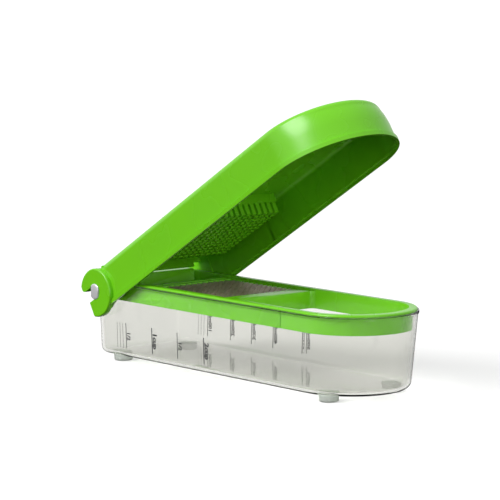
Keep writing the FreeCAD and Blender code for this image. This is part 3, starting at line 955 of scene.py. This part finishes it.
@dataclass
class Lid:
    """The lid with its hooks and pusher, modelled closed about the hinge axis. Sizes in metres."""

    rim: float = -15.7 * MM
    top: float = 15.9 * MM
    nose: float = 283.4 * MM
    half: float = 48.8 * MM
    wall: float = 1.9 * MM
    draft_side: float = 0.6 * MM
    draft_nose: float = 7.0 * MM
    nose_bend: float = 3.0
    bend_levels: tuple[float, ...] = (0.45, 0.6, 0.7, 0.78)
    edge_round: float = 5.0 * MM
    lip: float = 1.3 * MM
    lip_height: float = 3.0 * MM
    lip_slope: float = 0.7 * MM
    edge: float = 0.6 * MM
    tray_start: float = -40 * MM
    pusher_edge: float = 0.35 * MM
    plate_start: float = 10.6 * MM
    rear_start: float = 12.0 * MM
    rear_half: float = 38.5 * MM
    rear_low: float = 7.0 * MM
    rear_side_low: float = 10.4 * MM
    rib_width: float = 1.1 * MM
    rib_depth: float = 0.7 * MM
    rib_root: float = 0.6 * MM
    ribs: tuple[float, ...] = (22.5 * MM, 101.0 * MM)
    hook_radius: float = 18.4 * MM
    hook_drop: float = 1.0 * MM
    hook_inner: float = 47.0 * MM
    hook_outer: float = 52.0 * MM
    hook_edge: float = 1.2 * MM
    web_back: float = 0.1 * MM
    hollow: float = 14.0 * MM
    hook_bore: float = 6.05 * MM
    hook_slot: float = 9.6 * MM
    hook_prong: float = 10.0 * MM
    upper_prong: float = 13.7 * MM
    prong_round: float = 3.0 * MM

    def build(self) -> None:
        """Builds the lid and its pusher."""
        self.build_shell()
        pusher = softened("pusher", "pusher_pins", self.pusher_edge)
        finish_piece(pusher, "lid_body", Finishes.GREEN)

    def tray(self) -> bpy.types.Object:
        """The tray of the lid with its lip, open below and at the rear."""
        tray = d_face("lid_shell", self.tray_start, self.nose + self.lip, self.half + self.lip, 0, self.rim)
        with editing(tray) as pick:
            bpy.ops.mesh.select_all(action="SELECT")
            raise_face(self.lip_height)
            raise_face(self.lip_slope, self.lip)
            self.draw_up()
            round_over(self.edge_round, 10)
            bpy.ops.mesh.select_all(action="SELECT")
            bpy.ops.mesh.bisect(plane_co=(self.plate_start, 0, 0), plane_no=(1, 0, 0), clear_inner=True)
            pick.faces(lambda centre, _: centre.z < self.rim + CLOSE)
            bpy.ops.mesh.delete(type="FACE")
        face_out(tray)
        apply_modifier(tray, "SOLIDIFY", thickness=self.wall, offset=-1, use_even_offset=True)
        return tray

    def draw_up(self) -> None:
        """Takes the selected face up to where the top edge begins to round, and bends the nose in."""
        height = self.top - self.rim
        first = (self.lip_height + self.lip_slope) / height
        shares = [first, *self.bend_levels, 1 - self.edge_round / height]
        for below, above in zip(shares, shares[1:]):
            raise_face((above - below) * height)
            nose_before, nose_after = (self.nose - self.draft_nose * share ** self.nose_bend
                                       for share in (below, above))
            half_before, half_after = (self.half - self.draft_side * share for share in (below, above))
            along = (nose_after - self.tray_start) / (nose_before - self.tray_start)
            scale_selected(Vector((self.tray_start, 0, 0)), Vector((along, half_after / half_before, 1)))

    def hook(self, side: int) -> bpy.types.Object:
        """One hinge hook before its bore is cut.

        Args:
            side: -1 for the near one, 1 for the far one.

        Returns:
            The hook, a thick disc on a plate that blends into the lid's side.
        """
        centre = Vector((0, side * (self.hook_inner + self.hook_outer) / 2, -self.hook_drop))
        disc = rod(f"hook_{side}", centre, self.hook_radius, self.hook_outer - self.hook_inner)
        with editing(disc) as pick:
            pick.faces(lambda _, normal: abs(normal.y) > FACING)
            bpy.ops.mesh.bevel(offset=self.hook_edge, segments=4, affect="EDGES")
        combine(disc, self.web(side), "UNION")
        return disc

    def web(self, side: int) -> bpy.types.Object:
        """The plate behind a hook's disc, which runs into the lid's side with hollow corners.

        Args:
            side: -1 for the near one, 1 for the far one.

        Returns:
            The plate.
        """
        face = self.half - self.draft_side - self.web_back
        low, high = sorted((side * self.hook_inner, side * face))
        reach = self.hook_radius + self.hollow
        hollows, levels = [], []
        for edge, way in ((self.rim, -1), (self.top - self.edge_round / 2, 1)):
            rise = edge + self.hook_drop + way * self.hollow
            along = math.sqrt(reach ** 2 - rise ** 2)
            hollows.append(Vector((along, 0, rise - self.hook_drop)))
            levels.append(rise * self.hook_radius / reach - self.hook_drop)
        middle = (hollows[0].x + hollows[1].x) / 2
        web = block("hook_web", Vector((0, low, levels[0])), Vector((middle, high, levels[1])))
        for centre in hollows:
            combine(web, rod("web_hollow", centre, self.hollow, 3 * self.half, 192), "DIFFERENCE")
        return web

    def build_shell(self) -> None:
        """Joins tray and hooks, cuts the bores and slots, rounds the edges and opens the lid."""
        shell = self.tray()
        for side in (-1, 1):
            combine(shell, self.hook(side), "UNION")
        sides = self.half - self.wall / 2
        for half, low in ((self.rear_half, self.rear_low), (sides, self.rear_side_low)):
            wall = block("lid_rear_wall", Vector((self.rear_start, -half, low)),
                         Vector((self.rear_start + self.wall, half, self.top - self.wall / 2)))
            combine(shell, wall, "UNION")
        self.cut_hooks(shell)
        apply_modifier(shell, "BEVEL", width=self.edge, segments=3, limit_method="ANGLE",
                       angle_limit=math.radians(45))
        for side in (-1, 1):
            for along in self.ribs:
                combine(shell, self.rib(side, along), "UNION")
        self.open_up(shell)
        face_out(shell)
        smooth(shell, 35)
        apply_modifier(shell, "WEIGHTED_NORMAL", keep_sharp=True)
        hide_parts("lid")
        finish_piece(shell, "lid_body", Finishes.GREEN)

    def cut_hooks(self, shell: bpy.types.Object) -> None:
        """Cuts the bore through both hooks, the slot that leads to it and the ends of the prongs."""
        reach = self.hook_outer + PAST
        outside = -self.hook_radius - PAST
        foot = self.hook_slot / 2
        cutter = rod("hook_bore", Vector((0, 0, 0)), self.hook_bore, 2 * reach, 64)
        slot = block("hook_slot", Vector((outside, -reach, -foot)), Vector((0, reach, foot)))
        combine(cutter, slot, "UNION")
        lower = block("lower_prong_end", Vector((outside, -reach, outside)),
                      Vector((-self.hook_prong, reach, LAP - foot)))
        combine(cutter, lower, "UNION")
        combine(shell, cutter, "DIFFERENCE")

        inward, upward = self.prong_round - self.upper_prong, self.prong_round + foot
        corner = block("prong_corner", Vector((-self.upper_prong - LAP, -reach, foot - LAP)),
                       Vector((inward, reach, upward)))
        kept = rod("prong_kept", Vector((inward, 0, upward)), self.prong_round, 2 * (reach + LAP), 64)
        combine(corner, kept, "DIFFERENCE")
        upper = block("upper_prong_end", Vector((outside, -reach, foot - 2 * LAP)),
                      Vector((-self.upper_prong, reach, -outside)))
        combine(upper, corner, "UNION")
        combine(shell, upper, "DIFFERENCE")

    def rib(self, side: int, along: float) -> bpy.types.Object:
        """A thin upright rib on the inside of a side wall, rounded along its free edge.

        Args:
            side: -1 for the near wall, 1 for the far wall.
            along: how far it stands from the axis.

        Returns:
            The rib.
        """
        inside = self.half - self.wall
        free = side * (inside - self.rib_depth)
        low, high = sorted((free, side * (inside + self.rib_root)))
        rib = block("lid_rib", Vector((along - self.rib_width / 2, low, self.rim + self.rib_root)),
                    Vector((along + self.rib_width / 2, high, self.top - self.wall)))
        with editing(rib) as pick:
            pick.edges(lambda a, b: max(abs(a.y - free), abs(b.y - free)) < CLOSE and abs(a.z - b.z) > MM)
            bpy.ops.mesh.bevel(offset=self.rib_width * 0.4, segments=3, affect="EDGES")
        return rib

    def open_up(self, shell: bpy.types.Object) -> None:
        """Turns the closed lid to its stored pose and sets it on its axis."""
        joint = next(item for item in frame["joints"] if item["name"] == "lid_hinge")
        shell.rotation_euler = (0, math.radians(joint["range_deg"][0]), 0)
        shell.location = joint["pos_m"]
        settle(shell, "lid_shell")


@dataclass
class Studio:
    """Floor, soft light and camera."""

    eye: Vector = field(default_factory=lambda: Vector((1.35078, -1.15082, 0.30708)))
    azimuth: float = 49.76
    elevation: float = 6.89
    lens: float = 176.7
    sensor: float = 36.0
    far_clip: float = 1000.0
    floor_size: float = 600.0
    floor_level: float = -0.2 * MM
    sky: tuple[tuple[float, float], ...] = (
        (0.0, 0.012), (0.001, 1.15), (0.05, 0.95), (0.2, 0.8), (0.5, 0.68))

    def build(self) -> None:
        """Builds the studio."""
        self.build_floor()
        self.build_world()
        self.build_sun("key", Vector((-0.25, -0.85, 0.75)), 2.45, 35)
        self.build_sun("nose_light", Vector((1.0, -0.15, 0.22)), 0.4, 24)
        self.build_camera()

    def build_floor(self) -> None:
        """Lays the floor under the feet."""
        bpy.ops.object.select_all(action="DESELECT")
        bpy.ops.mesh.primitive_plane_add(size=self.floor_size, location=(0, 0, self.floor_level))
        floor = settle(bpy.context.object, "floor")
        PAINT.dress(floor, Finishes.FLOOR)
        floor.visible_diffuse = False
        floor.visible_glossy = False

    def build_world(self) -> None:
        """Sets a sky that is brightest at the horizon, above a dim lower half."""
        world = bpy.data.worlds.new("studio")
        world.use_nodes = True
        tree = world.node_tree
        way = tree.nodes.new("ShaderNodeTexCoord")
        parts = tree.nodes.new("ShaderNodeSeparateXYZ")
        ramp = tree.nodes.new("ShaderNodeValToRGB")
        Shader.set_stops(ramp.color_ramp, [(at, (level, level, level, 1)) for at, level in self.sky])
        tree.links.new(way.outputs["Generated"], parts.inputs[0])
        tree.links.new(parts.outputs["Z"], ramp.inputs[0])
        tree.links.new(ramp.outputs["Color"], tree.nodes["Background"].inputs["Color"])
        bpy.context.scene.world = world
        bpy.context.scene.view_settings.view_transform = "Standard"

    def build_sun(self, name: str, towards: Vector, strength: float, spread: float) -> None:
        """Hangs a soft distant lamp.

        Args:
            name: the lamp's name.
            towards: the direction it stands in.
            strength: its strength in watts for each square metre.
            spread: how wide it looks, in degrees.
        """
        lamp = bpy.data.lights.new(name, "SUN")
        lamp.energy = strength
        lamp.angle = math.radians(spread)
        hung = bpy.data.objects.new(name, lamp)
        hung.location = towards * 2
        hung.rotation_euler = (-towards).to_track_quat("-Z", "Y").to_euler()
        bpy.context.collection.objects.link(hung)

    def build_camera(self) -> None:
        """Sets the camera at the object's best known view."""
        camera = bpy.data.cameras.new("camera")
        camera.lens = self.lens
        camera.sensor_width = self.sensor
        camera.clip_end = self.far_clip
        seat = bpy.data.objects.new("camera", camera)
        seat.location = self.eye
        turn, lift = math.radians(self.azimuth), math.radians(self.elevation)
        back = Vector((math.sin(turn) * math.cos(lift), -math.cos(turn) * math.cos(lift), math.sin(lift)))
        seat.rotation_euler = (-back).to_track_quat("-Z", "Y").to_euler()
        bpy.context.collection.objects.link(seat)
        bpy.context.scene.camera = seat


def main() -> None:
    """Builds every sub-assembly."""
    for part in (Tub(), CuttingFrame(), Lid(), Studio()):
        part.build()


if __name__ == "__main__":
    main()
